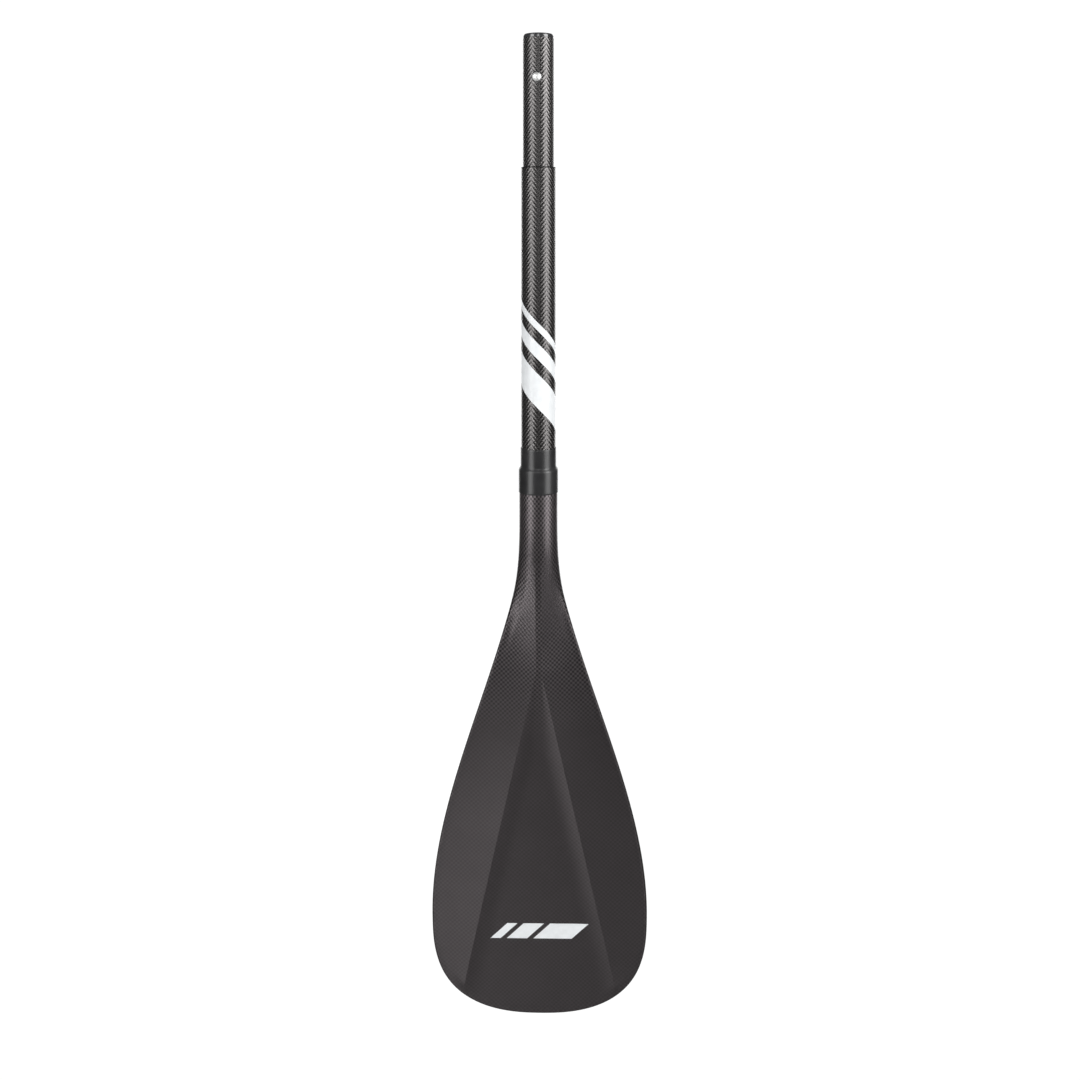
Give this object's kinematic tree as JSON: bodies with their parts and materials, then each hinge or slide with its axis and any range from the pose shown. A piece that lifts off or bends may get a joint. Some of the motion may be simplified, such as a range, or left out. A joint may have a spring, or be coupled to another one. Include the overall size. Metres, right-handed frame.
{
  "type": "paddle blade section",
  "caption": "Blade section of a take-apart stand-up paddle: canted blade with a ridged face, short tubular shaft, shrunk collar and a plug-in spigot with a spring lock button.",
  "frame": {"origin": "on the shaft axis, level with the shoulder where the spigot leaves the main shaft and the next shaft section stops", "axes": "+Z along the shaft axis towards the spigot's free end, -Z towards the blade; -Y is the side the ridged blade face looks to, and the blade's tip is canted towards +Y; X runs across the blade"},
  "size_m": [0.1904, 0.0849, 0.8697],
  "materials": {
    "blade_carbon": "satin carbon weave laminate",
    "tube_carbon": "satin-gloss carbon braid laminate",
    "foam": "closed-cell foam",
    "adhesive": "cured epoxy",
    "cap_plastic": "glossy black plastic",
    "button_steel": "polished steel",
    "spring_steel": "rolled spring steel",
    "shrink_sleeve": "satin black heat-shrink tube",
    "white_decal": "white printed film"
  },
  "bodies": {
    "paddle": {"blade_front_skin": "blade_carbon", "blade_back_skin": "blade_carbon", "blade_foam_core": "foam", "shaft_tube": "tube_carbon", "spigot_tube": "tube_carbon", "spigot_bond": "adhesive", "spigot_end_cap": "cap_plastic", "v_spring": "spring_steel", "shaft_water_plug": "foam", "collar_sleeve": "shrink_sleeve", "neck_bond": "adhesive", "stripe_narrow": "white_decal", "stripe_middle": "white_decal", "stripe_wide": "white_decal", "blade_graphic": "white_decal"},
    "button": {"lock_button": "button_steel"}
  },
  "joints": [
    {"name": "button_press", "type": "slide", "parent": "paddle", "child": "button", "axis": [0.0872, 0.9962, 0], "range_m": [0, 0.0042], "stiffness_N_per_m": 1800, "springref_m": -0.003, "deforming": ["v_spring"]}
  ]
}
